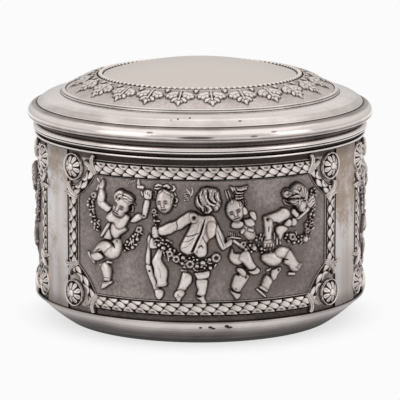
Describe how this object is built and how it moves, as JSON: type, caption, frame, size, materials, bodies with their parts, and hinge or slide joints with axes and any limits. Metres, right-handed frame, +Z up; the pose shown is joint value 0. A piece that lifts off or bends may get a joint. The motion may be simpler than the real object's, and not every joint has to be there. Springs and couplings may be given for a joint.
{
  "type": "round lidded box",
  "caption": "Round silver box with a lift-off domed lid, relief panels of dancing children in laurel frames, rosette roundels, a leaf band and a beaded ring.",
  "frame": {"origin": "centre of the circle that the foot rests on", "axes": "+Z up along the box's own axis, -Y towards the middle of figured panel 1, the one the picture faces"},
  "size_m": [0.14, 0.14, 0.105],
  "materials": {
    "polished_silver": "polished silver, softly worn",
    "chased_silver": "chased silver with dark oxidised hollows",
    "satin_silver": "satin silver",
    "plain_silver": "plain spun silver"
  },
  "bodies": {
    "box_body": {"base_moulding": "polished_silver", "base_plate": "plain_silver", "inner_liner": "plain_silver", "neck_wire": "polished_silver", "mouth_moulding": "polished_silver", "figure_panel_1": "chased_silver", "figure_panel_2": "chased_silver", "figure_panel_3": "chased_silver", "laurel_frame_1": "chased_silver", "laurel_frame_2": "chased_silver", "laurel_frame_3": "chased_silver", "upright_strip_1": "polished_silver", "upright_strip_2": "polished_silver", "upright_strip_3": "polished_silver", "roundel_1_top_left": "chased_silver", "roundel_1_top_right": "chased_silver", "roundel_1_bottom_left": "chased_silver", "roundel_1_bottom_right": "chased_silver", "roundel_2_top_left": "chased_silver", "roundel_2_top_right": "chased_silver", "roundel_2_bottom_left": "chased_silver", "roundel_2_bottom_right": "chased_silver", "roundel_3_top_left": "chased_silver", "roundel_3_top_right": "chased_silver", "roundel_3_bottom_left": "chased_silver", "roundel_3_bottom_right": "chased_silver"},
    "lid": {"lid_rim": "polished_silver", "lid_cove": "polished_silver", "leaf_band": "chased_silver", "bead_ring": "chased_silver", "lid_plate": "satin_silver"}
  },
  "joints": [
    {"name": "lid_lift", "type": "slide", "parent": "box_body", "child": "lid", "axis": [0, 0, 1], "range_m": [0, 0.03]}
  ]
}
